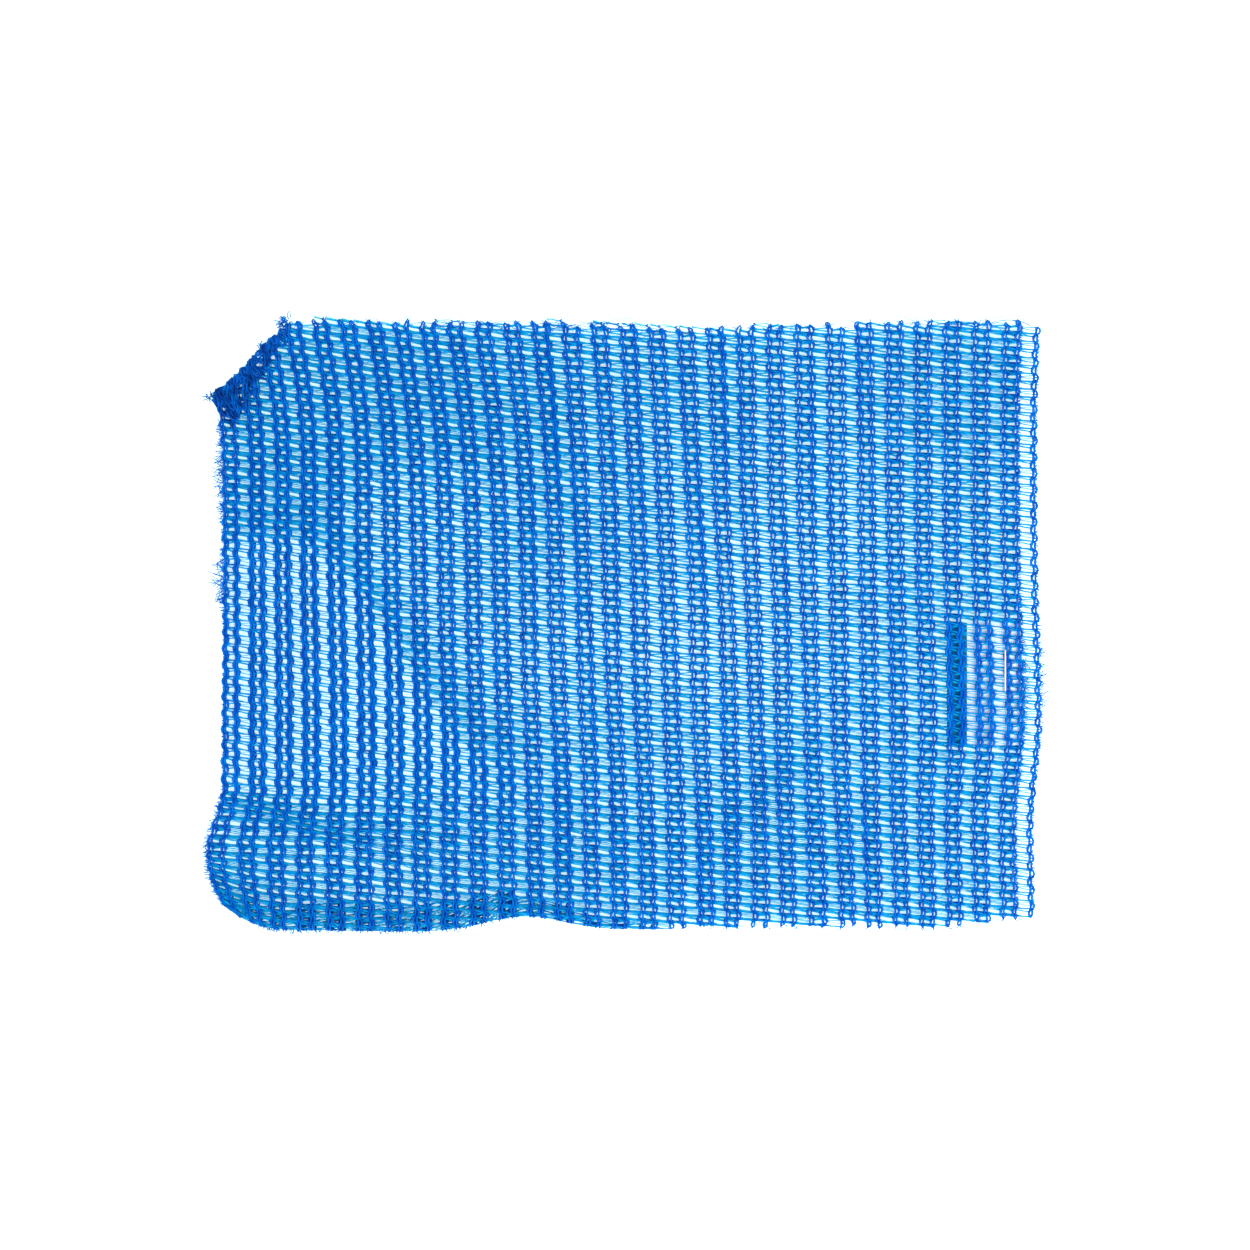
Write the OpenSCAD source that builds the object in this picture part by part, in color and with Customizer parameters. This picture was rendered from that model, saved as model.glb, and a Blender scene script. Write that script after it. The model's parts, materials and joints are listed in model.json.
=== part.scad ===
// Folded hay net: two plies of warp-knitted net, one on the other, with a tag card
// between them and one staple through the stack near the right edge.
// +Z is up, X runs across the wales, Y runs along them. The net lies flat on Z = 0.

/* [Net] */
// Width of the net, from its lower left bulge to its right edge
net_w = 244; // [200:1:320]
// Length of the net along its wales
net_l = 180; // [150:1:240]
// Thickness of one knitted ply
ply_t = 1.2; // [0.8:0.1:2]
// Clear gap between neighbouring layers
layer_gap = 0.3; // [0.2:0.05:0.6]
// How far the back ply stops short of the front one at the right edge
back_short = 5; // [2:0.5:8]

/* [Knit] */
// Number of wales across one ply
wales = 59; // [50:1:59]
// Pitch of the pairs that the wales stand in
pair_pitch = 8.2; // [7.8:0.05:8.2]
// Narrow gap of a pair, centre to centre
narrow_gap = 3.4; // [3:0.1:3.8]
// Width of one wale
wale_w = 1.3; // [0.9:0.1:1.6]

/* [Turned corner] */
// How far the turned corner reaches along the top edge
corner_x = 23.5; // [18:0.5:30]
// How far it reaches down the left edge
corner_y = 25; // [18:0.5:32]
// Height of the crumpled cloth in the front ply's corner
corner_t = 2.7; // [1.5:0.1:4]

/* [Left and bottom edges] */
// How far the turned-under left edge lies inside the bulge
hem_in = 4; // [2:0.5:6]
// Radius of the bulge at the lower left
bulge_r = 24; // [18:1:30]
// Height at which the bulge is widest, above the bottom edge
bulge_y = 24; // [24:1:34]
// Depth of the shallow scallop in the bottom edge
scallop_d = 4.5; // [2:0.5:7]
// Radius of the scallop
scallop_r = 60; // [40:5:90]
// Rise of the bottom edge at the right corner
right_rise = 5.5; // [2:0.5:8]

/* [Card and staple] */
// Width of the tag card
card_w = 21.5; // [16:0.5:26]
// Height of the tag card
card_h = 36; // [28:1:44]
// Thickness of the card
card_t = 0.3; // [0.2:0.05:0.5]
// Length of the staple's crown, outside to outside
crown_l = 12.7; // [10:0.1:13]
// Thickness of the staple's wire
wire_d = 0.5; // [0.4:0.05:0.6]
// Length of each clinched leg
clinch_l = 4.5; // [3:0.5:5.5]
// Distance of the staple from the right edge
staple_in = 9.6; // [8:0.2:12]
// Height of the staple's middle, from the middle of the net
staple_y = -13; // [-30:1:30]

/* [Hidden] */
$fn = 48;
net_blue = "#0A64C8";
deep_blue = "#0848A0";
left = -net_w / 2;
right = net_w / 2;
top = net_l / 2;
bottom = -net_l / 2;
half_ply = ply_t / 2;

// heights of the layers, from the floor up
card_z = ply_t + layer_gap;
front_z = card_z + card_t + layer_gap;
front_top = front_z + ply_t;
wire_r = wire_d / 2;
crown_z = front_top + 0.05 + wire_r;
clinch_z = 0.05 + wire_r;

// the front ply turns about the staple's crown, and is fixed from there to its right edge
staple_x = right - staple_in;
ply_end = staple_x - 1;
margin_start = staple_x - 0.7;
leg_y = crown_l / 2 - wire_r;
hole_r = wire_r + 0.2;

// card: its inner edge shows through the net well to the left of the staple
card_right = staple_x + 4.5;
card_bottom = staple_y - 22;

first_wale = left + hem_in + 1.6;
bulge_x = left + bulge_r;
scallop_x = -33;
rise_w = 30;

// centre of wale i: the wales stand in pairs, a narrow gap and then a wide one
function wale_x(i) = first_wale + floor(i / 2) * pair_pitch + (i % 2) * narrow_gap;

// triangle that the turned corner takes off the rectangle
module corner_cut() {
    polygon([[left - 1, top + 1],
             [left + corner_x + 1, top + 1],
             [left + corner_x, top],
             [left + 3, top - corner_y],
             [left - 1, top - corner_y - 4]]);
}

// band of crumpled cloth along the turned corner, wide at its lower tip
module corner_band() {
    polygon([[left + corner_x, top],
             [left + 2.5, top - corner_y + 0.5],
             [left + 3.5, top - corner_y - 3],
             [left + 11.5, top - corner_y],
             [left + 17, top - corner_y + 7],
             [left + corner_x - 1, top - 8]]);
}

module lower_left_waste() {
    difference() {
        translate([left - 1, bottom - 1]) square([bulge_r + 1, bulge_y + 1]);
        translate([bulge_x, bottom + bulge_y]) circle(r = bulge_r);
    }
}

// outline of a ply as it lies, with its turned corner and its curled edges
module net_outline() {
    difference() {
        union() {
            translate([left + hem_in, bottom]) square([net_w - hem_in, net_l]);
            translate([bulge_x, bottom + bulge_y]) circle(r = bulge_r);
        }
        corner_cut();
        corner_band();
        lower_left_waste();
        translate([scallop_x, bottom + scallop_d - scallop_r]) circle(r = scallop_r);
        polygon([[right - rise_w, bottom],
                 [right + 1, bottom - 1],
                 [right + 1, bottom + right_rise]]);
    }
}

// the wales as straight bars, from the first one to the last
module wale_bars() {
    for (i = [0 : wales - 1])
        translate([wale_x(i) - wale_w / 2, bottom - 1]) square([wale_w, net_l + 2]);
}

// part of the outline between two places across the net
module outline_between(x0, x1) {
    intersection() {
        net_outline();
        translate([x0, bottom - 1]) square([x1 - x0, net_l + 2]);
    }
}

module inlay_layer(x0, x1, z) {
    translate([0, 0, z])
        linear_extrude(half_ply) outline_between(x0, x1);
}

module wale_layer(x0, x1, z) {
    translate([0, 0, z + half_ply])
        linear_extrude(half_ply)
            intersection() {
                outline_between(x0, x1);
                wale_bars();
            }
}

// clearance for the staple's two legs, through every layer
module leg_holes() {
    for (side = [-1, 1])
        translate([staple_x, staple_y + side * leg_y, -1])
            cylinder(r = hole_r, h = crown_z + 1);
}

// slot under the back ply that the clinched legs lie in
module clinch_slot() {
    translate([staple_x - hole_r, staple_y - crown_l / 2 - 0.2, -1])
        cube([2 * hole_r, crown_l + 0.4, 1 + half_ply]);
}

module back_inlays() {
    color(net_blue)
        difference() {
            inlay_layer(left, right - back_short, 0);
            clinch_slot();
        }
}

module back_wales() {
    color(deep_blue)
        difference() {
            wale_layer(left, right - back_short, 0);
            leg_holes();
        }
}

module back_corner() {
    color(deep_blue) linear_extrude(card_z + card_t) corner_band();
}

module front_inlays() {
    color(net_blue) inlay_layer(left, ply_end, front_z);
}

module front_wales() {
    color(deep_blue) wale_layer(left, ply_end, front_z);
}

module front_corner() {
    color(deep_blue) translate([0, 0, front_z]) linear_extrude(corner_t) corner_band();
}

module margin_inlays() {
    color(net_blue)
        difference() {
            inlay_layer(margin_start, right, front_z);
            leg_holes();
        }
}

module margin_wales() {
    color(deep_blue)
        difference() {
            wale_layer(margin_start, right, front_z);
            leg_holes();
        }
}

module tag_card() {
    color("white")
        difference() {
            translate([card_right - card_w, card_bottom, card_z])
                cube([card_w, card_h, card_t]);
            leg_holes();
        }
}

// one bent wire: a crown on top, two legs down, and both ends clinched inwards below
module staple() {
    color("silver")
        translate([staple_x, staple_y, 0]) {
            translate([0, -leg_y, crown_z]) rotate([-90, 0, 0]) cylinder(r = wire_r, h = 2 * leg_y);
            for (side = [-1, 1]) {
                translate([0, side * leg_y, clinch_z]) cylinder(r = wire_r, h = crown_z - clinch_z);
                translate([0, side * leg_y, crown_z]) sphere(r = wire_r);
                translate([0, side * leg_y, clinch_z]) sphere(r = wire_r);
                translate([0, side * leg_y, clinch_z])
                    rotate([side * 90, 0, 0]) cylinder(r = wire_r, h = clinch_l);
            }
        }
}

back_inlays();
back_wales();
back_corner();
front_inlays();
front_wales();
front_corner();
margin_inlays();
margin_wales();
tag_card();
staple();
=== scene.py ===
"""Looks of the folded hay net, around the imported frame: two knitted plies, a tag card and a staple.

Lengths in the knit sections are in millimetres, because that is how a net is specified, and MM turns
them into metres. The cloth is described flat, with x across the wales and y along them, and lay() says
where a flat point lies.
"""

import json
import math

import bpy
import numpy as np
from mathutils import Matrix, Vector


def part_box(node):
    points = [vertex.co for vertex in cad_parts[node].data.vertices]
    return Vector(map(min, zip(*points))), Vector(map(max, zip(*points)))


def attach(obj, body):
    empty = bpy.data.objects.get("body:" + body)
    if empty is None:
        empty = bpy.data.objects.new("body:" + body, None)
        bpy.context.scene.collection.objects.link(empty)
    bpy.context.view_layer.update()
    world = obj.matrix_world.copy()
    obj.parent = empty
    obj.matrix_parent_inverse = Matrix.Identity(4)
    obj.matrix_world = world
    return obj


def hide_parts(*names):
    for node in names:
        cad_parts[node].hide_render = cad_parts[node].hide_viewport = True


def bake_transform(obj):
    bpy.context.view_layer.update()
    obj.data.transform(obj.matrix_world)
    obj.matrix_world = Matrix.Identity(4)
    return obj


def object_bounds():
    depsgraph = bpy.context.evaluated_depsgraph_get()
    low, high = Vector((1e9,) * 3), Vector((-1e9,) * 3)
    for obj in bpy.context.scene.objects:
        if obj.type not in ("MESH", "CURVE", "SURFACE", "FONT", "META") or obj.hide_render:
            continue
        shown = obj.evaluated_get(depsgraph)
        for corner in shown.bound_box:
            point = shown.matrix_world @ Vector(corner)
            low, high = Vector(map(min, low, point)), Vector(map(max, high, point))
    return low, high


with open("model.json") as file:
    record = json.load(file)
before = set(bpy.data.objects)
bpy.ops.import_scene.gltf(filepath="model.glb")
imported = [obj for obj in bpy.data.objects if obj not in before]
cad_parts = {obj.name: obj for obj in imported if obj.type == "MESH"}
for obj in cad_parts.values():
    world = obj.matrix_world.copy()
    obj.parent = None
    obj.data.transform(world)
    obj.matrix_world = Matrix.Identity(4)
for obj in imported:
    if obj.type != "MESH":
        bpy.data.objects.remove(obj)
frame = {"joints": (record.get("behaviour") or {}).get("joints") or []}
cad_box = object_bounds()

MM = 0.001
rng = np.random.default_rng(7)


# ---------------------------------------------------------------- frame ----

def box_mm(node):
    """Lowest and highest corner of a CAD node, in millimetres."""
    low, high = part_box(node)
    return np.array(low) / MM, np.array(high) / MM


LEFT, BOTTOM, _ = np.array(cad_box[0]) / MM
_, TOP, _ = np.array(cad_box[1]) / MM
front_low, _ = box_mm("front_inlays")
card_low, card_high = box_mm("tag_card")
staple_low, staple_high = box_mm("staple")
HINGE_X = frame["joints"][0]["pos_m"][0] / MM
STAPLE_Y = (staple_low[1] + staple_high[1]) / 2
FLOOR_PLY = 0.72                       # middle of a ply that lies on the floor
FRONT_PLY = front_low[2] + FLOOR_PLY   # middle of the front ply
PRINTED_BAND = 5.9                     # width of the band printed on the card


# ----------------------------------------------------------- small maths ----

def ease(t):
    """0 below 0, 1 above 1, and a smooth step between."""
    t = np.clip(t, 0.0, 1.0)
    return t * t * (3 - 2 * t)


def bump(value, middle, half_width):
    """A smooth hump, 1 at the middle."""
    return np.exp(-((value - middle) / half_width) ** 2)


def soft_ramp(value, width):
    """0 well below 0, value well above it, with a round bend."""
    return width * np.logaddexp(0, value / width)


def waves(x, y, length, seed):
    """Smooth random height between about -1 and 1, from a few crossing waves near one wavelength."""
    local = np.random.default_rng(seed)
    total = 0
    for _ in range(6):
        angle = local.uniform(0, math.pi)
        k = 2 * math.pi / (length * local.uniform(0.7, 1.5))
        phase = local.uniform(0, 2 * math.pi)
        total = total + np.sin(k * (x * math.cos(angle) + y * math.sin(angle)) + phase)
    return total / 3.2


# ------------------------------------------------------------- the knit ----

COURSE = 2.34          # pitch of the courses along a wale
PAIR = 8.2             # pitch of the pairs that the wales stand in
NARROW = 3.4           # narrow gap of a pair, centre to centre
FRONT_WALES = 59
BACK_WALES = 58
SKEW = 0.07            # how much the courses drop for each millimetre to the right
ZIGZAG = 0.38          # side step of a wale from one course to the next
FIRST_WALE = LEFT + 5.6
SPAN = (FRONT_WALES - 1) / 2 * PAIR

# One stitch of a wale: a pillar loop, and an underlap that runs back behind its left leg.
# x and z are in millimetres, y in courses.
LOOP = np.array([
    [-0.22, 0.02, -0.30],
    [-0.45, 0.30, 0.10],
    [-0.50, 0.64, 0.28],
    [-0.43, 1.00, 0.15],
    [0.00, 1.20, -0.05],
    [0.43, 1.00, 0.15],
    [0.50, 0.64, 0.28],
    [0.45, 0.30, 0.12],
    [0.00, 0.08, -0.30],
    [-0.48, 0.50, -0.42],
])
MOST_COURSES = 64      # more than there are above or below the middle of the net
FIRST_SEED = 500       # seed of the unevenness of the first wale
SLIT = 0.64            # height in a course at which a loop is widest open
TAPE_AT = 0.22         # height at which the tape crosses
KNOT_AT = 0.84         # height at which a knot stands out of the wale
YARN = (0.27, 0.16)    # half width and half thickness of the chain yarn
TAPE = (0.20, 0.06)    # the same of the flat tape laid across each course
STRAND = (0.11, 0.07)  # the same of the thin strands beside it
KNOT_YARN = (0.26, 0.15)  # the same of the wrap that makes a knot
SELVEDGE = 1.3         # how much wider the yarn of the last wale of the front ply is


def wale_x(i):
    """Flat place of wale i: the wales stand in pairs, a narrow gap and then a wide one."""
    return FIRST_WALE + (i // 2) * PAIR + (i % 2) * NARROW


def course_y(j, x):
    """Flat place of height j, in courses, at x."""
    return j * COURSE - SKEW * x


def zigzag(height):
    """Side step of the wales at a height in courses: to the right in even ones, to the left in odd ones."""
    return ZIGZAG * np.cos(math.pi * (height - SLIT))


# The wrap of yarn that makes a knot: out to the side and back. Sideways and z are in millimetres, the
# middle one in courses.
KNOT = ((0.25, -0.12, 0.05), (0.68, -0.06, 0.14), (0.68, 0.08, 0.14), (0.20, 0.16, 0.05))
# Material slots of the yarn meshes. The last one holds a darker copy of the yarn, which is painted shade for
# the folded corner.
WALE_SLOT, TAPE_SLOT, STRAND_SLOT, FOLD_SHADE_SLOT = 0, 1, 2, 3


# ---------------------------------------------------------- cut outline ----

SCALLOP_X = -28        # middle of the shallow scallop in the bottom edge
SCALLOP = 4.3          # its depth
HEM = 8.0              # cloth turned under along the left part of the bottom edge
RIGHT_RISE = 3.2       # how far the bottom edge rises to the right corner


def top_edge(x):
    """Upper cut edge of the net."""
    return TOP - 0.8 - 2.4 * bump(x, 33, 34)


def fold_line(x):
    """Lowest place of the cloth at each x, where it turns under or ends."""
    return BOTTOM + 0.8 + SCALLOP * bump(x, SCALLOP_X, 16) + RIGHT_RISE * ease((x - 92) / 30)


def hem_share(x):
    """How far the bottom edge is turned under: all the way at the left, not at all right of the middle."""
    return 1 - ease((x + 45) / 75)


class Ply:
    """One layer of net: how high it lies, and how it turns under along the bottom and at the corner."""

    def __init__(self, name, wales, middle, hem_top, hem_radius, corner_pitch):
        self.name = name
        self.wales = wales
        self.middle = middle
        self.hem_top = hem_top
        self.hem_radius = hem_radius
        self.corner_pitch = corner_pitch
        self.is_back = name == "back"
        self.top_trim = rng.uniform(0, 0.9, wales) + rng.choice([0, 0, 0, 0, 1.2], wales)
        self.bottom_trim = rng.uniform(0, 1.6, wales)

    def radius(self, x):
        """Radius of the turn at the bottom edge."""
        return 0.12 + self.hem_radius * hem_share(x)

    def cut_edge(self, x):
        """Flat place of the bottom cut, past the turned hem."""
        turned = (math.pi * self.hem_radius + HEM) * hem_share(x)
        return fold_line(x) + self.radius(x) - turned


front = Ply("front", FRONT_WALES, FRONT_PLY, 4.15, 1.72, 0.60)
back = Ply("back", BACK_WALES, FLOOR_PLY, 2.96, 0.575, 0.42)


# ------------------------------------------------- how the cloth lies ----

def bright_edge(x):
    """Upper edge of the patch at the left where the plies lie half a wale apart."""
    return 24.5 - 68 * ease((x + 95) / 64)


def in_patch(x, y):
    """1 in that patch, 0 outside, with soft borders."""
    inside = ease((bright_edge(x) - y) / 10 + 0.5) * ease((y + 50) / 22 + 0.5)
    return inside * (1 - ease((x + 40) / 25))


def looseness(x, y):
    """How far the plies have slid out of step, from 0 to 1: a base, and more in each named region."""
    upper_left = 0.7 * ease(-x / 50) * ease((y - 12 - 22 * ease((x + 95) / 35)) / 34)
    upper_middle = 0.3 * bump(x, -5, 45) * bump(y, 42, 24)
    upper_right = 0.95 * bump(x, 102, 12) * bump(y, 72, 11)
    along_top = 0.42 * bump(y, 72, 27)
    above_patch = 0.55 * bump(y - bright_edge(x), 9, 9) * (1 - ease((x + 38) / 28))
    low_down = 0.45 * bump(y, -64, 13) * (1 - ease((x - 62) / 25))
    at_crease = 0.6 * bump(y - crease_y(x), 0, 5) * (1 - ease((x + 75) / 30))
    low_slant = 0.6 * bump(y + 61 - 0.84 * (x - 30), 0, 7) * bump(x, 48, 22)
    right_side = 0.28 * ease((x - 70) / 15) * ease((y + 62) / 20)
    base = 0.31 - 0.16 * bump(x, 25, 35) * bump(y, -10, 32)
    regions = [upper_left, upper_middle, upper_right, along_top, above_patch, low_down, at_crease,
               low_slant, right_side, base]
    return np.minimum(sum(regions), 1.0)


PATCH_SLIP = 0.48      # how far across the wales the plies are out of step in the patch
PRESSED = 0.50         # how much wider the chain yarn is where the front ply is pressed on the card


def slip(x, y):
    """How far the back ply is out of step with the front one, across and along the wales."""
    patch = in_patch(x, y)
    loose = looseness(x, y)
    middle = ease((x + 40) / 30) * (1 - ease((x - 75) / 20))
    leaning = waves(x + 0.06 * y, y * 0.16, 15, 11) * middle
    across = 0.06 + 0.15 * np.maximum(leaning, -0.3) + 0.16 * loose
    along = 0.12 + 0.05 * waves(x * 0.8, y, 60, 12) + 0.30 * loose
    return across * (1 - patch) + PATCH_SLIP * patch, along * (1 - patch)


def fullness(x, y):
    """Width of the inlays: they lie flat where the plies are loose, and edge on where the net is drawn."""
    return 1 + 0.3 * looseness(x, y) - 0.26 * in_patch(x, y)


def spread(x, y, ply):
    """Width of the chain yarn: it is pressed wide in the patch, and where the front ply lies on the card."""
    wide = 1 + 0.1 * in_patch(x, y)
    if ply.is_back:
        return wide
    inside_x = ease((x - card_low[0] + 1) / 2) * ease((card_high[0] + 1 - x) / 2)
    inside_y = ease((y - card_low[1] + 1) / 2) * ease((card_high[1] + 1 - y) / 2)
    return wide + PRESSED * inside_x * inside_y


def crease_y(x):
    """The crease above the bulge at the lower left, which runs out to the right."""
    return -51.5 - 13 * ease((x + 118) / 55)


def gather(offset, width, depth):
    """Shift that crowds the courses together near offset 0 and leaves the rest in place."""
    u = offset / width
    return -depth * u * np.exp(-0.5 * u * u)


def drift(x, y):
    """The pull of the cloth in its own plane: wales that spread, lean and bulge."""
    # t runs from 0 at the first wale to 1 at the last. The wales stand closer together at the left.
    t = (x - FIRST_WALE) / SPAN
    moved = x - 11 * t * (1 - t)
    # They fan out near the top edge, mostly to the left, and lean over their whole height.
    moved = moved - (0.07 - 0.0012 * x) * soft_ramp(y - 62, 8)
    lean = ease(t / 0.45) * (1 - 0.4 * ease((t - 0.45) / 0.55))
    moved = moved - 0.03 * y * lean
    # The lower left corner bulges out, and the lower right one is drawn in.
    moved = moved - 4.6 * np.exp(-(x - FIRST_WALE) / 28) * ease((-47 - y) / 19)
    moved = moved - 2.6 * ease((-25 - y) / 35) * ease((t - 0.75) / 0.25)
    # Long waves run everywhere, and short ones in the middle.
    moved = moved + 0.45 * waves(x, y * 0.6, 55, 21)
    middle = ease((x + 35) / 25) * (1 - ease((x - 75) / 20))
    moved = moved + 0.36 * waves(x + 0.1 * y, y * 0.12, 17, 23) * middle
    return moved, y + 0.35 * waves(x * 0.7, y, 48, 22)


ROUND_R = 24.0         # radius of the round lower left corner
ROUND_X = LEFT + ROUND_R
ROUND_Y = BOTTOM + ROUND_R


def round_corner(x, y):
    """Presses the square lower left corner into a quarter circle."""
    u = np.clip((ROUND_X - x) / ROUND_R, 0, 1.2)
    v = np.clip((ROUND_Y - y) / ROUND_R, 0, 1.2)
    both = (u > 0) & (v > 0)
    round_x = ROUND_X - ROUND_R * u * np.sqrt(1 - np.minimum(v, 1) ** 2 / 2)
    round_y = ROUND_Y - ROUND_R * v * np.sqrt(1 - np.minimum(u, 1) ** 2 / 2)
    return np.where(both, round_x, x), np.where(both, round_y, y)


# The line on which the top left corner is folded, from its upper end to its lower one, and the direction
# out of the net at right angles to it.
CORNER_TOP = np.array([LEFT + 24.4, TOP])
CORNER_LOW = np.array([LEFT + 0.5, TOP - 24.8])
CORNER_LENGTH = float(np.linalg.norm(CORNER_LOW - CORNER_TOP))
CORNER_DOWN = (CORNER_LOW - CORNER_TOP) / CORNER_LENGTH
CORNER_OUT = np.array([CORNER_DOWN[1], -CORNER_DOWN[0]])


def corner_place(x, y):
    """How far down the corner's fold line a point is, and how far beyond the line."""
    along = (x - CORNER_TOP[0]) * CORNER_DOWN[0] + (y - CORNER_TOP[1]) * CORNER_DOWN[1]
    beyond = (x - CORNER_TOP[0]) * CORNER_OUT[0] + (y - CORNER_TOP[1]) * CORNER_OUT[1]
    return along, beyond


def corner_width(share):
    """Width of the folded band, at a share of the way down the line."""
    return 2.0 + 8.6 * share ** 0.95


def turn_corner(x, y, z, ply):
    """Turns the top left corner under, in folds like an accordion's, bunched at the lower end."""
    along, beyond = corner_place(x, y)
    touched = beyond > -0.01
    past = np.maximum(beyond, 0)
    slid = along + 1.05 * past
    slid = slid - soft_ramp(slid - CORNER_LENGTH + 2, 1.2) * 0.85
    width = corner_width(np.clip(slid / CORNER_LENGTH, 0, 1))
    folds = past / (0.62 * width)
    fraction = folds - np.floor(folds)
    swing = np.where(np.floor(folds) % 2 == 0, fraction, 1 - fraction) * width
    crumple = ease(past / 2)
    inward = np.where(beyond > 0, -swing, beyond) + crumple * 0.9 * waves(x, y, 6, 31)
    slid = slid + crumple * 0.9 * waves(x, y, 6, 32)
    near = ease(1 + beyond / 9) * ease((along + 6) / 12) * ease((CORNER_LENGTH + 8 - along) / 10)
    lift = 3.6 * ply.corner_pitch * near
    layer = np.minimum(folds, 5) * 0.85
    z = z + lift - ply.corner_pitch * layer + crumple * 0.15 * waves(x, y, 5, 33)
    new_x = CORNER_TOP[0] + slid * CORNER_DOWN[0] + inward * CORNER_OUT[0]
    new_y = CORNER_TOP[1] + slid * CORNER_DOWN[1] + inward * CORNER_OUT[1]
    return np.where(touched, new_x, x), np.where(touched, new_y, y), z


def turn_hem(x, y, z, ply):
    """Rolls the bottom edge under about its fold line. z is the height from the middle of the ply."""
    share = hem_share(x)
    radius = ply.radius(x)
    above = y - fold_line(x) - radius
    lift = (ply.hem_top - ply.middle) * share * ease(1 - above / 16)
    angle = np.clip(-above / radius, 0, math.pi)
    rest = np.maximum(-above - math.pi * radius, 0)
    turned_y = fold_line(x) + radius - (radius + z) * np.sin(angle) + rest
    turned_z = ply.middle + lift - radius + (radius + z) * np.cos(angle)
    under = above < 0
    return np.where(under, turned_y, y), np.where(under, turned_z, ply.middle + lift + z)


def ridges(x, y):
    """Height of the soft wrinkles that the front ply stands in. The staple presses them flat."""
    above_patch = 0.8 * bump(y - bright_edge(x), 5, 7) * (1 - ease((x + 25) / 35))
    at_crease = 1.2 * bump(y - crease_y(x), 0, 3.5) * (1 - ease((x + 88) / 28))
    long_line = 18 - 0.18 * y + 5 * np.sin(y / 24)
    long_ridge = 0.7 * bump(x, long_line, 7) * ease((y + 70) / 30)
    short_line = 52 + 5 * np.sin((y + 20) / 22)
    short_ridge = 0.8 * bump(x, short_line, 6) * ease((25 - y) / 20) * ease((y + 66) / 14)
    everywhere = 0.35 * (1 + waves(x, y, 70, 41))
    height = above_patch + at_crease + long_ridge + short_ridge + everywhere
    pressed = np.exp(-((x - HINGE_X) / 7) ** 2 - ((y - STAPLE_Y) / 11) ** 2)
    return height * (1 - pressed) - 0.12 * pressed


def lay(x, y, z, ply):
    """Where the flat point (x, y), at height z from the middle of its ply, lies, in millimetres."""
    if ply.is_back:
        across, along = slip(x, y)
        x = x + across * ease((x - FIRST_WALE + 1) / 12)
        y = y + along
    y = y + gather(y - bright_edge(x) - 5, 6, 0.6) * (1 - ease((x + 75) / 35))
    y = y + gather(y - crease_y(x), 4.4, 1.7) * (1 - ease((x + 90) / 35))
    y, height = turn_hem(x, y, z, ply)
    height = height + ridges(x, y) * (0.3 if ply.is_back else 1.0)
    x, y = drift(x, y)
    x, y = round_corner(x, y)
    x, y, height = turn_corner(x, y, height, ply)
    return np.stack([x, y, height], axis=-1)


# --------------------------------------------------------- yarn meshes ----

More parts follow.
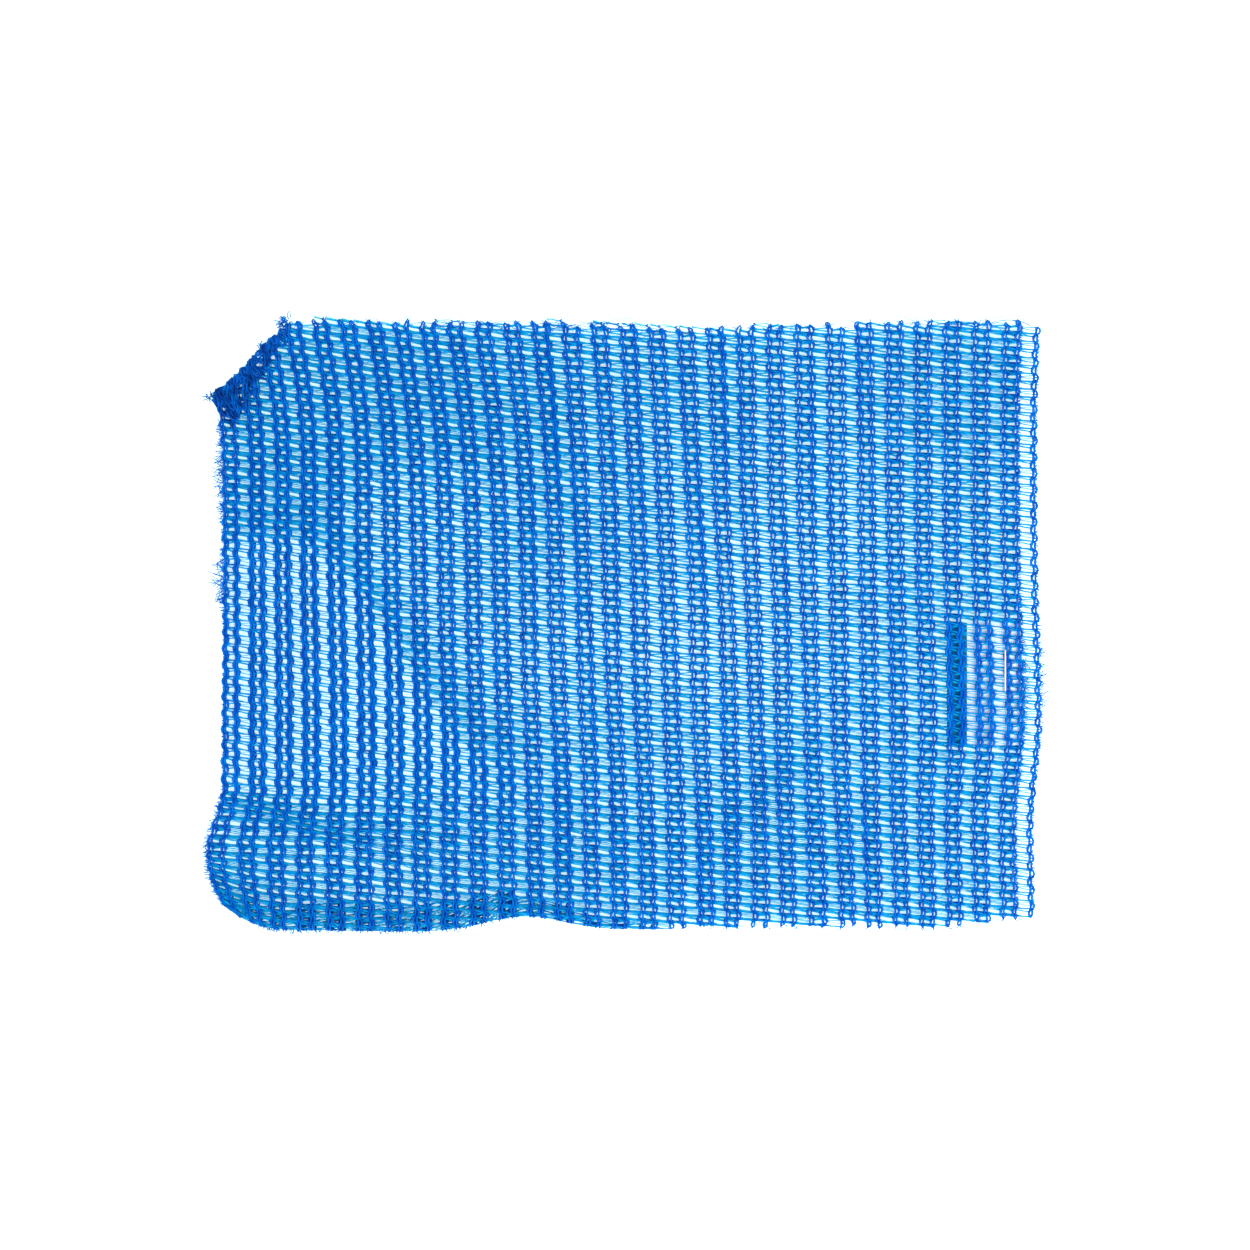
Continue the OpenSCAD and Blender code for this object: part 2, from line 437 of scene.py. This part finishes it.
class Yarns:
    """Collects yarns, each a row of points, and makes one closed tube of each."""

    def __init__(self):
        self.points = []
        self.corners = []
        self.sizes = []
        self.slots = []
        self.count = 0

    def add(self, path, up, half_width, half_thickness, sides, slot=0):
        """path and up have the shape (yarns, points, 3); half_width may have the shape (yarns, points)."""
        yarns, rings, _ = path.shape
        along = np.gradient(path, axis=1)
        along = along / np.linalg.norm(along, axis=2, keepdims=True)
        side = np.cross(along, up)
        side = side / np.maximum(np.linalg.norm(side, axis=2, keepdims=True), 1e-9)
        normal = np.cross(along, side)
        turn = np.arange(sides) * 2 * math.pi / sides + (math.pi / 2 if sides == 3 else 0)
        wide = np.broadcast_to(np.asarray(half_width, float), (yarns, rings))[:, :, None, None]
        ring = path[:, :, None, :]
        ring = ring + side[:, :, None, :] * wide * np.cos(turn)[None, None, :, None]
        ring = ring + normal[:, :, None, :] * half_thickness * np.sin(turn)[None, None, :, None]
        self.points.append(ring.reshape(-1, 3))

        index = self.count + np.arange(yarns * rings * sides).reshape(yarns, rings, sides)
        after = np.roll(index, -1, axis=2)
        walls = np.stack([index[:, :-1], after[:, :-1], after[:, 1:], index[:, 1:]], axis=-1)
        starts = index[:, 0, ::-1]
        ends = index[:, -1, :]
        for faces in (walls.reshape(-1, 4), starts, ends):
            self.corners.append(faces.reshape(-1))
            self.sizes.append(np.full(len(faces), faces.shape[1]))
            self.slots.append(np.full(len(faces), slot))
        self.count += yarns * rings * sides

    def paint_fold_shade(self):
        """Paints shade into the folded corner: its faces get the darker shade slot, and its thin strands the
        darker wale slot, because little light reaches the yarn there.
        """
        points = np.concatenate(self.points)
        starts = np.concatenate(self.corners)[np.cumsum(np.concatenate(self.sizes)) - 1]
        slots = np.concatenate(self.slots)
        along, beyond = corner_place(points[starts, 0], points[starts, 1])
        width = corner_width(np.clip(along / CORNER_LENGTH, 0, 1))
        folded = (along > 1) & (along < CORNER_LENGTH) & (beyond > -width) & (beyond < 2)
        # painted shade: thin strands in the fold take the darker wale slot, and everything else takes the
        # shade slot
        shaded = np.where(slots == STRAND_SLOT, WALE_SLOT, FOLD_SHADE_SLOT)
        self.slots = [np.where(folded, shaded, slots)]

    def object(self, name, materials):
        points = np.concatenate(self.points) * MM
        corners = np.concatenate(self.corners)
        sizes = np.concatenate(self.sizes)
        mesh = bpy.data.meshes.new(name)
        mesh.vertices.add(len(points))
        mesh.vertices.foreach_set("co", points.astype(np.float32).ravel())
        mesh.loops.add(len(corners))
        mesh.loops.foreach_set("vertex_index", corners.astype(np.int32))
        mesh.polygons.add(len(sizes))
        mesh.polygons.foreach_set("loop_start", (np.cumsum(sizes) - sizes).astype(np.int32))
        for material in materials:
            mesh.materials.append(material)
        mesh.polygons.foreach_set("material_index", np.concatenate(self.slots).astype(np.int32))
        mesh.polygons.foreach_set("use_smooth", np.ones(len(sizes), bool))
        mesh.update(calc_edges=True)
        piece = bpy.data.objects.new(name, mesh)
        bpy.context.scene.collection.objects.link(piece)
        return piece


UP_STEP = 0.3          # height above a path at which laid() looks for its upward direction


def laid(flat, ply):
    """Points and upward directions of flat paths once they lie in their ply."""
    x, y, z = flat[..., 0], flat[..., 1], flat[..., 2]
    path = lay(x, y, z, ply)
    up = lay(x, y, z + UP_STEP, ply) - path
    return path, up


def unevenness(i, courses, rows):
    """Random unevenness of the courses of wale i, the same in both plies. rows is the number of kinds."""
    table = np.random.default_rng(FIRST_SEED + i).normal(0, 1, (rows, 2 * MOST_COURSES))
    return table[:, courses + MOST_COURSES]


def courses_of(i, ply):
    """Heights in courses at which the ragged cuts end wale i."""
    x = wale_x(i)
    bottom = (ply.cut_edge(x) + ply.bottom_trim[i] + SKEW * x) / COURSE
    top = (top_edge(x) - ply.top_trim[i] + SKEW * x) / COURSE
    return bottom, top


def knit_wale(yarns, i, ply):
    """One wale, as the single yarn that it is: a chain of pillar loops."""
    x = wale_x(i)
    bottom, top = courses_of(i, ply)
    j = np.arange(math.floor(bottom + 0.5), math.floor(top + 0.5))
    tight, nudge_x, nudge_y = unevenness(i, j, 3)[:, :, None] * 0.05
    start = np.zeros((len(j), 1))
    start[0] = bottom - j[0]
    rise = 1 - start
    rise[-1] = top - j[-1]
    height = j[:, None] + start + LOOP[:, 1] * rise
    flat = np.empty((len(j), len(LOOP), 3))
    flat[..., 0] = x + LOOP[:, 0] * (1 + tight) + zigzag(height) + nudge_x
    flat[..., 1] = course_y(height, x) + nudge_y
    flat[..., 2] = LOOP[:, 2]
    path, up = laid(flat.reshape(1, -1, 3), ply)
    width = YARN[0] * spread(flat[..., 0], flat[..., 1], ply).reshape(1, -1)
    if i == FRONT_WALES - 1:
        width = width * SELVEDGE
    yarns.add(path, up, width, YARN[1], 4)


def cross_yarns(yarns, i, ply):
    """The inlays between wale i and the next: a tape on each course, and thin strands out of the knots."""
    x0, x1 = wale_x(i), wale_x(i + 1)
    bottom = max(courses_of(i, ply)[0], courses_of(i + 1, ply)[0])
    top = min(courses_of(i, ply)[1], courses_of(i + 1, ply)[1])
    j = np.arange(math.ceil(bottom - 0.3), math.floor(top + 0.6))
    n = len(j)
    wide_gap = i % 2 == 1
    uneven = unevenness(i, j, 12)
    sag = uneven[10] * (0.05 if wide_gap else 0.03)
    jitter = uneven[:6] * 0.02
    thickness = 1 + uneven[6:9, :, None] * 0.13
    local = fullness((x0 + x1) / 2, course_y(j, (x0 + x1) / 2))[:, None]
    strand = STRAND[0] * (1.0 if wide_gap else 1.3) * local
    tape = TAPE[0] * (1.0 if wide_gap else 1.4) * local

    def run(start_x, start_y, end_x, end_y, z, points=3):
        """Yarns with a slight sag from one place to another. The y values are heights in each course."""
        t = np.linspace(0, 1, points)[None, :]
        flat = np.empty((n, points, 3))
        flat[..., 0] = np.broadcast_to(start_x, n)[:, None] * (1 - t) + np.broadcast_to(end_x, n)[:, None] * t
        rows = (j + start_y)[:, None] * (1 - t) + (j + end_y)[:, None] * t
        flat[..., 1] = course_y(rows, flat[..., 0]) + sag[:, None] * 4 * t * (1 - t)
        flat[..., 2] = z
        return laid(flat, ply)

    even = j % 2 == 0
    tape_step = zigzag(j + TAPE_AT)
    knot_step = zigzag(j + KNOT_AT)

    tape_start = x0 + tape_step - 0.2
    tape_end = x1 + tape_step + 0.2
    path, up = run(tape_start, TAPE_AT + jitter[0], tape_end, TAPE_AT + jitter[1], -0.10)
    yarns.add(path, up, tape * thickness[0], TAPE[1], 4, TAPE_SLOT if wide_gap else WALE_SLOT)

    # fans: to the right out of the left wale's knot in even courses, and to the left out of the right
    # wale's in odd ones. In odd courses, and in all of those across a narrow gap, the two strands lie close
    # together and leave a larger hole.
    clear = ~even | (not wide_gap)
    knot_x = np.where(even, x0 + 0.55, x1 - 0.55) + knot_step
    far_x = np.where(even, x1 - 0.1, x0 + 0.1)
    first_end = np.where(clear, 1.12, 1.04)
    second_start = np.where(clear, KNOT_AT - 0.04, KNOT_AT - 0.08)
    second_end = np.where(clear, 0.97, 0.60)
    path, up = run(knot_x, KNOT_AT + jitter[2], far_x, first_end + jitter[3], 0.0)
    yarns.add(path, up, strand * thickness[1], STRAND[1], 3, STRAND_SLOT)
    path, up = run(knot_x, second_start + jitter[2], far_x, second_end + jitter[4], 0.05)
    yarns.add(path, up, strand * thickness[2], STRAND[1], 3, STRAND_SLOT)
    third_start = TAPE_AT + 0.16 + jitter[5]
    third_end = TAPE_AT - 0.12 + jitter[2] * 2
    path, up = run(x0 + 0.4, third_start, x1 - 0.4, third_end, 0.02)
    yarns.add(path, up, strand, STRAND[1], 3, STRAND_SLOT)

    # the knot: a short wrap of yarn that stands out to one side of its wale
    side = np.where(even, 1.0, -1.0)
    centre = np.where(even, x0, x1) + knot_step
    flat = np.empty((n, 4, 3))
    for k, (out, rise, z) in enumerate(KNOT):
        flat[:, k, 0] = centre + side * out
        flat[:, k, 1] = course_y(j + KNOT_AT + rise, centre)
        flat[:, k, 2] = z
    path, up = laid(flat, ply)
    yarns.add(path, up, KNOT_YARN[0], KNOT_YARN[1], 3, WALE_SLOT)


# ------------------------------------------------------------ materials ----

def srgb(code):
    """Linear colour of a #RRGGBB code."""
    values = [int(code[k:k + 2], 16) / 255 for k in (1, 3, 5)]
    return [v / 12.92 if v <= 0.04045 else ((v + 0.055) / 1.055) ** 2.4 for v in values] + [1]


def new_material(name):
    """A material with nodes, its nodes and its links."""
    material = bpy.data.materials.new(name)
    material.use_nodes = True
    return material, material.node_tree.nodes, material.node_tree.links


def noise(nodes, links, scale, detail=3.0):
    """A noise texture fixed to the object."""
    where = nodes.new("ShaderNodeTexCoord")
    texture = nodes.new("ShaderNodeTexNoise")
    texture.inputs["Scale"].default_value = scale
    texture.inputs["Detail"].default_value = detail
    links.new(where.outputs["Object"], texture.inputs["Vector"])
    return texture


def yarn_material(name, dark, light, through, share):
    """Blue plastic yarn: two dye tones in uneven lengths, fine draw marks, and light passing through."""
    material, nodes, links = new_material(name)
    shader = nodes["Principled BSDF"]
    tone = nodes.new("ShaderNodeValToRGB")
    tone.color_ramp.elements[0].position = 0.36
    tone.color_ramp.elements[1].position = 0.66
    tone.color_ramp.elements[0].color = srgb(dark)
    tone.color_ramp.elements[1].color = srgb(light)
    lengths = noise(nodes, links, 420.0)
    links.new(lengths.outputs["Fac"], tone.inputs["Fac"])
    links.new(tone.outputs["Color"], shader.inputs["Base Color"])
    marks = noise(nodes, links, 5200.0, 2.0)
    bumps = nodes.new("ShaderNodeBump")
    bumps.inputs["Strength"].default_value = 0.35
    bumps.inputs["Distance"].default_value = 0.00004
    links.new(marks.outputs["Fac"], bumps.inputs["Height"])
    links.new(bumps.outputs["Normal"], shader.inputs["Normal"])
    wear = nodes.new("ShaderNodeMapRange")
    wear.inputs["To Min"].default_value = 0.34
    wear.inputs["To Max"].default_value = 0.54
    links.new(marks.outputs["Fac"], wear.inputs["Value"])
    links.new(wear.outputs["Result"], shader.inputs["Roughness"])
    shader.inputs["Specular IOR Level"].default_value = 0.05
    passing = nodes.new("ShaderNodeBsdfTranslucent")
    passing.inputs["Color"].default_value = srgb(through)
    mix = nodes.new("ShaderNodeMixShader")
    mix.inputs["Fac"].default_value = share
    links.new(shader.outputs["BSDF"], mix.inputs[1])
    links.new(passing.outputs["BSDF"], mix.inputs[2])
    links.new(mix.outputs["Shader"], nodes["Material Output"].inputs["Surface"])
    return material


wale_blue = yarn_material("wale_blue", "#0050B6", "#0076D6", "#00B8F8", 0.36)
front_tape = yarn_material("front_tape_blue", "#0084D0", "#00A6E8", "#18D4FF", 0.42)
front_strand = yarn_material("front_strand_blue", "#0096D2", "#08B8F0", "#38E2FF", 0.46)
# The back ply is the same yarn as the front one, but in paler, more translucent copies. This is painted
# light, for the pale look of the lower ply seen through the upper one.
back_tape = yarn_material("back_tape_painted_pale", "#10A4D8", "#24C2F0", "#50ECFF", 0.50)
back_strand = yarn_material("back_strand_painted_pale", "#30B4E0", "#4CD4F6", "#84F4FF", 0.55)
# A darker, less translucent copy of the yarn. It is painted shade for the folded corner, where little light
# reaches.
painted_fold_shade_blue = yarn_material("painted_fold_shade_blue", "#00307C", "#0058BC", "#0080D8", 0.18)


def card_board():
    """Board with a soft mottle, its white painted darker and pale blue as shade and blue light from the net
    over it, and a blue band printed along its inner side.
    """
    material, nodes, links = new_material("card_board")
    shader = nodes["Principled BSDF"]
    where = nodes.new("ShaderNodeTexCoord")
    split = nodes.new("ShaderNodeSeparateXYZ")
    links.new(where.outputs["Object"], split.inputs["Vector"])
    band = nodes.new("ShaderNodeMath")
    band.operation = "LESS_THAN"
    band.inputs[1].default_value = (card_low[0] + PRINTED_BAND) * MM
    links.new(split.outputs["X"], band.inputs[0])
    fibres = noise(nodes, links, 900.0, 6.0)
    # the paper's white is painted darker and pale blue, as painted shade and blue light from the net that
    # lies over the card
    shaded_paper = nodes.new("ShaderNodeValToRGB")
    shaded_paper.color_ramp.elements[0].color = srgb("#CADFE8")
    shaded_paper.color_ramp.elements[1].color = srgb("#E4F1F7")
    links.new(fibres.outputs["Fac"], shaded_paper.inputs["Fac"])
    ink = nodes.new("ShaderNodeValToRGB")
    ink.color_ramp.elements[0].color = srgb("#005C84")
    ink.color_ramp.elements[1].color = srgb("#006C9A")
    links.new(fibres.outputs["Fac"], ink.inputs["Fac"])
    print_mix = nodes.new("ShaderNodeMix")
    print_mix.data_type = "RGBA"
    links.new(band.outputs["Value"], print_mix.inputs["Factor"])
    links.new(shaded_paper.outputs["Color"], print_mix.inputs["A"])
    links.new(ink.outputs["Color"], print_mix.inputs["B"])
    links.new(print_mix.outputs["Result"], shader.inputs["Base Color"])
    shader.inputs["Roughness"].default_value = 0.8
    shader.inputs["Specular IOR Level"].default_value = 0.15
    tooth = nodes.new("ShaderNodeBump")
    tooth.inputs["Strength"].default_value = 0.2
    tooth.inputs["Distance"].default_value = 0.00005
    links.new(fibres.outputs["Fac"], tooth.inputs["Height"])
    links.new(tooth.outputs["Normal"], shader.inputs["Normal"])
    return material


def steel():
    """Bright galvanised wire with faint draw marks."""
    material, nodes, links = new_material("staple_steel")
    shader = nodes["Principled BSDF"]
    shader.inputs["Metallic"].default_value = 1.0
    spangle = noise(nodes, links, 1800.0, 4.0)
    tone = nodes.new("ShaderNodeValToRGB")
    tone.color_ramp.elements[0].color = srgb("#B9BEC4")
    tone.color_ramp.elements[1].color = srgb("#F0F2F4")
    links.new(spangle.outputs["Fac"], tone.inputs["Fac"])
    links.new(tone.outputs["Color"], shader.inputs["Base Color"])
    wear = nodes.new("ShaderNodeMapRange")
    wear.inputs["To Min"].default_value = 0.22
    wear.inputs["To Max"].default_value = 0.42
    links.new(spangle.outputs["Fac"], wear.inputs["Value"])
    links.new(wear.outputs["Result"], shader.inputs["Roughness"])
    return material


# --------------------------------------------------------------- pieces ----

def net_strip(ply, first, last, number, body, *stands_for):
    """A strip of one ply, from wale first to wale last, with the inlays that join it to the next strip."""
    yarns = Yarns()
    for i in range(first, last + 1):
        knit_wale(yarns, i, ply)
        if i + 1 < ply.wales:
            cross_yarns(yarns, i, ply)
    yarns.paint_fold_shade()
    # the back ply takes the paler copies of the inlay yarn, which paint light into it
    tape, strand = (back_tape, back_strand) if ply.is_back else (front_tape, front_strand)
    piece = yarns.object(f"{ply.name}_net_{number}", [wale_blue, tape, strand, painted_fold_shade_blue])
    if body == "hinge":
        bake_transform(piece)
    else:
        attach(piece, body)
    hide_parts(*stands_for)
    return piece


net_strip(back, 0, 13, 1, "back_ply", "back_wales", "back_inlays", "back_corner")
net_strip(back, 14, 27, 2, "back_ply", "back_wales", "back_inlays")
net_strip(back, 28, 42, 3, "back_ply", "back_wales", "back_inlays")
net_strip(back, 43, 57, 4, "back_ply", "back_wales", "back_inlays")
net_strip(front, 0, 13, 1, "front_ply", "front_wales", "front_inlays", "front_corner")
net_strip(front, 14, 27, 2, "front_ply", "front_wales", "front_inlays")
net_strip(front, 28, 41, 3, "front_ply", "front_wales", "front_inlays")
net_strip(front, 42, 53, 4, "front_ply", "front_wales", "front_inlays")
net_strip(front, 54, 58, 5, "hinge", "margin_wales", "margin_inlays")


def card():
    """The tag card: a thin board with round corners, a slight bow and a band printed on its inner side."""
    columns, rows, radius = 26, 40, 1.6
    middle = (card_low + card_high) / 2
    half = (card_high - card_low) / 2
    u, v = np.meshgrid(np.linspace(-1, 1, columns), np.linspace(-1, 1, rows))
    x, y = u * half[0], v * half[1]
    corner_u = np.clip((np.abs(x) - half[0] + radius) / radius, 0, 1)
    corner_v = np.clip((np.abs(y) - half[1] + radius) / radius, 0, 1)
    both = (corner_u > 0) & (corner_v > 0)
    round_x = np.sign(x) * (half[0] - radius + radius * corner_u * np.sqrt(1 - corner_v ** 2 / 2))
    round_y = np.sign(y) * (half[1] - radius + radius * corner_v * np.sqrt(1 - corner_u ** 2 / 2))
    x, y = np.where(both, round_x, x), np.where(both, round_y, y)
    bow = 0.14 * (u ** 2 - 0.4) + 0.05 * np.sin(2 * v + u)
    x, y = x + middle[0], y + middle[1]
    sheets = [np.stack([x, y, middle[2] + side * half[2] + bow], -1) for side in (-1, 1)]
    points = np.concatenate([sheet.reshape(-1, 3) for sheet in sheets]) * MM
    index = np.arange(rows * columns).reshape(rows, columns)
    quads = np.stack([index[:-1, :-1], index[:-1, 1:], index[1:, 1:], index[1:, :-1]], -1).reshape(-1, 4)
    rim = np.concatenate([index[0, :], index[1:, -1], index[-1, -2::-1], index[-2:0:-1, 0]])
    walls = np.stack([rim, np.roll(rim, -1), np.roll(rim, -1) + index.size, rim + index.size], -1)
    faces = np.concatenate([quads[:, ::-1], quads + index.size, walls])
    mesh = bpy.data.meshes.new("printed_card")
    mesh.from_pydata(points.tolist(), [], faces.tolist())
    mesh.materials.append(card_board())
    piece = bpy.data.objects.new("printed_card", mesh)
    bpy.context.scene.collection.objects.link(piece)
    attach(piece, "back_ply")
    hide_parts("tag_card")
    return piece


def arc(centre, radius, start, end, steps=5):
    """Points of an arc in the plane of the staple, as (y, z)."""
    angles = np.radians(np.linspace(start, end, steps))
    return [(centre[0] + radius * math.cos(a), centre[1] + radius * math.sin(a)) for a in angles]


def staple():
    """The staple: one flattened wire, bent over a crown and clinched inwards underneath."""
    bend = 0.55
    flatness = 0.8
    wire_half = (staple_high[0] - staple_low[0]) / 2
    crown_z = staple_high[2] - wire_half
    clinch_z = staple_low[2] + wire_half
    leg = (staple_high[1] - staple_low[1]) / 2 - wire_half
    clinch = 4.5
    right = [(leg - clinch, clinch_z), (leg - bend - 0.4, clinch_z)]
    right += arc((leg - bend, clinch_z + bend), bend, -90, 0)
    right += arc((leg - bend, crown_z - bend), bend, 0, 90)
    left = [(-y, z) for y, z in right[::-1]]
    line = np.array(right + left)
    path = np.empty((1, len(line), 3))
    path[0, :, 0] = (staple_low[0] + staple_high[0]) / 2
    path[0, :, 1] = line[:, 0] + STAPLE_Y
    path[0, :, 2] = line[:, 1]
    along = np.gradient(path, axis=1)
    wire = Yarns()
    wire.add(path, np.cross(along, (1.0, 0.0, 0.0)), wire_half, wire_half * flatness, 12)
    piece = wire.object("staple_wire", [steel()])
    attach(piece, "back_ply")
    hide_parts("staple")
    return piece


# Half width and half thickness of the loose yarns.
SIDE_END = (0.11, 0.08)      # cut ends along the sides
TOP_END = (0.10, 0.07)       # cut ends along the top and the bottom
HEM_END = (0.13, 0.08)       # short ends out of the turned bottom edge
CORNER_LOOP = (0.16, 0.10)   # frayed loops at the folded corner
FILAMENT = (0.08, 0.07)      # long filaments along the top edge
FILAMENT_PLACES = [-38, -8, 4, 12, 90, 106]


def strays(x, y, heading, length, curl, points=6):
    """Loose ends that start at (x, y) and bend as they go. Every value is a row, heading in degrees."""
    t = np.linspace(0, 1, points)[None, :]
    turn = np.radians(heading[:, None] + curl[:, None] * t)
    step = length[:, None] / (points - 1)
    flat = np.empty((len(x), points, 3))
    flat[..., 0] = x[:, None] + np.cumsum(np.cos(turn) * step, axis=1) - np.cos(turn[:, :1]) * step
    flat[..., 1] = y[:, None] + np.cumsum(np.sin(turn) * step, axis=1) - np.sin(turn[:, :1]) * step
    flat[..., 2] = 0.1 + 0.5 * t * rng.normal(0, 0.5, (len(x), 1))
    return flat


def side_fringe(yarns, ply, at_left):
    """Cut ends of the inlays along one side of a ply, longer where the edge has frayed."""
    x = wale_x(0) if at_left else wale_x(ply.wales - 1)
    low, high = courses_of(0 if at_left else ply.wales - 1, ply)
    j = np.repeat(np.arange(math.ceil(low), math.floor(high)), 5 if at_left else 8)
    y = course_y(j + rng.uniform(0.05, 0.95, len(j)), x)
    if at_left:
        below_corner = y < CORNER_LOW[1] - 6
        j, y = j[below_corner], y[below_corner]
        reach = 0.6 + 2.8 * bump(y, 44, 13) + 4.6 * bump(y, 13, 6) + 1.1 * ease((-45 - y) / 10)
    else:
        reach = 0.8 + 2.0 * bump(y, -16, 13)
    length = 0.5 + reach * rng.uniform(0.2, 1.15, len(j))
    heading = rng.normal(180 if at_left else 0, 22, len(j))
    flat = strays(np.full(len(j), x), y, heading, length, rng.normal(0, 35, len(j)))
    path, up = laid(flat, ply)
    yarns.add(path, up, *SIDE_END, 3)


def end_fringe(yarns, ply, first, last):
    """Cut ends of the wales along the top and along the open part of the bottom."""
    for i in range(first, last + 1):
        low, high = courses_of(i, ply)
        x = wale_x(i)
        ends = [(course_y(high - 0.2, x), 90)] * 3
        if hem_share(x) < 0.3:
            ends += [(course_y(low, x), 270)] * 2
        y = np.array([end[0] for end in ends])
        heading = np.array([end[1] for end in ends]) + rng.normal(0, 38, len(ends))
        start = x + rng.normal(0, 0.35, len(ends))
        length = rng.uniform(0.6, 2.3, len(ends))
        flat = strays(start, y, heading, length, rng.normal(0, 90, len(ends)))
        path, up = laid(flat, ply)
        yarns.add(path, up, *TOP_END, 3)


def edge_fuzz(yarns, flat):
    """Loose ends that stand out past a turned edge, so they are not turned with it."""
    x, y = drift(flat[..., 0], flat[..., 1])
    x, y = round_corner(x, y)
    path = np.stack([x, y, flat[..., 2]], axis=-1)
    up = np.broadcast_to((0.0, 0.0, 1.0), path.shape)
    yarns.add(path, up, *HEM_END, 3)


def hem_fuzz(yarns, count):
    """Short ends along the turned bottom edge."""
    x = rng.uniform(LEFT + 7, -30, count)
    heading = rng.normal(268, 38, count)
    length = rng.uniform(0.6, 2.0, count)
    flat = strays(x, fold_line(x) + 0.3, heading, length, rng.normal(0, 60, count))
    flat[..., 2] += 2.0
    edge_fuzz(yarns, flat)


def corner_fuzz(yarns, count):
    """Frayed loops outside the folded corner, half of them near its upper end."""
    middles = [1.0, 1.0, 11.5, CORNER_LENGTH - 2.5]
    place = CORNER_TOP + CORNER_DOWN * rng.choice(middles, count)[:, None]
    place = place + rng.normal(0, 0.9, (count, 2))
    heading = rng.normal(150, 45, count)
    length = rng.uniform(1.2, 3.0, count)
    flat = strays(place[:, 0], place[:, 1], heading, length, rng.normal(0, 150, count), 9)
    flat[..., 2] += 1.8
    yarns.add(flat, np.broadcast_to((0.0, 0.0, 1.0), flat.shape), *CORNER_LOOP, 3)


def filaments(yarns, ply, count):
    """Long fine filaments that lie loose along the top edge, in bunches."""
    x = rng.choice(FILAMENT_PLACES, count) + rng.normal(0, 5, count)
    y = top_edge(x) - rng.uniform(0.5, 2.5, count)
    way = rng.choice([-1, 1], count)
    heading = 90 - way * rng.uniform(48, 74, count)
    length = rng.uniform(5, 15, count)
    curl = -way * rng.uniform(35, 80, count)
    flat = strays(x, y, heading, length, curl, 12)
    path, up = laid(flat, ply)
    yarns.add(path, up, *FILAMENT, 3)


def fringe(name, body, build):
    """A piece of cut ends that ride on one body. build adds them."""
    yarns = Yarns()
    build(yarns)
    piece = yarns.object(name, [wale_blue])
    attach(piece, body)
    return piece


def front_left_ends(yarns):
    """Those of the part of the front ply that turns."""
    side_fringe(yarns, front, True)
    end_fringe(yarns, front, 0, 54)
    filaments(yarns, front, count=44)
    hem_fuzz(yarns, count=170)
    corner_fuzz(yarns, count=42)


def front_right_ends(yarns):
    """Those of the margin right of the staple."""
    side_fringe(yarns, front, False)
    end_fringe(yarns, front, 56, 58)


def back_ends(yarns):
    """Those of the back ply."""
    side_fringe(yarns, back, True)
    side_fringe(yarns, back, False)
    end_fringe(yarns, back, 0, BACK_WALES - 1)


card()
staple()
fringe("front_cut_ends", "front_ply", front_left_ends)
fringe("margin_cut_ends", "back_ply", front_right_ends)
fringe("back_cut_ends", "back_ply", back_ends)


# -------------------------------------------------------- set and camera ----

def floor():
    """A plain pale floor that gives off a little light, so that the holes of the net read nearly white."""
    material, nodes, links = new_material("floor_white")
    shader = nodes["Principled BSDF"]
    shader.inputs["Base Color"].default_value = (0.66, 0.86, 0.83, 1)
    shader.inputs["Roughness"].default_value = 0.9
    shader.inputs["Emission Color"].default_value = (0.77, 1, 0.95, 1)
    shader.inputs["Emission Strength"].default_value = 0.55
    mesh = bpy.data.meshes.new("floor")
    half = 3.0
    corners = [(-half, -half, 0), (half, -half, 0), (half, half, 0), (-half, half, 0)]
    mesh.from_pydata(corners, [], [(0, 1, 2, 3)])
    mesh.materials.append(material)
    plane = bpy.data.objects.new("floor", mesh)
    plane.location.z = -0.0001
    bpy.context.scene.collection.objects.link(plane)


def lights():
    """Even light from all sides and one large soft box."""
    world = bpy.data.worlds.new("studio")
    bpy.context.scene.world = world
    world.use_nodes = True
    world.node_tree.nodes["Background"].inputs["Color"].default_value = (1, 1, 1, 1)
    world.node_tree.nodes["Background"].inputs["Strength"].default_value = 1.4
    data = bpy.data.lights.new("softbox", "AREA")
    data.shape = "RECTANGLE"
    data.size = 0.5
    data.size_y = 0.5
    data.energy = 6
    place = Vector((0.35, -0.28, 0.62))
    box = bpy.data.objects.new("softbox", data)
    box.location = place
    box.rotation_euler = place.to_track_quat("Z", "Y").to_euler()
    bpy.context.scene.collection.objects.link(box)


def camera():
    """Straight above the net, as a flat sample is photographed."""
    data = bpy.data.cameras.new("camera")
    data.sensor_width = 36.0
    distance = 1.5
    seen = 0.3662      # width of the view at the net
    net_top = 0.003
    view_x = 0.00103   # the net lies a little off the middle of the view
    view_y = 0.0003
    data.lens = data.sensor_width * distance / seen
    data.clip_start = 0.01
    data.clip_end = 20.0
    eye = bpy.data.objects.new("camera", data)
    eye.location = (view_x, view_y, distance + net_top)
    bpy.context.scene.collection.objects.link(eye)
    bpy.context.scene.camera = eye


floor()
lights()
camera()
bpy.context.scene.view_settings.view_transform = "Standard"
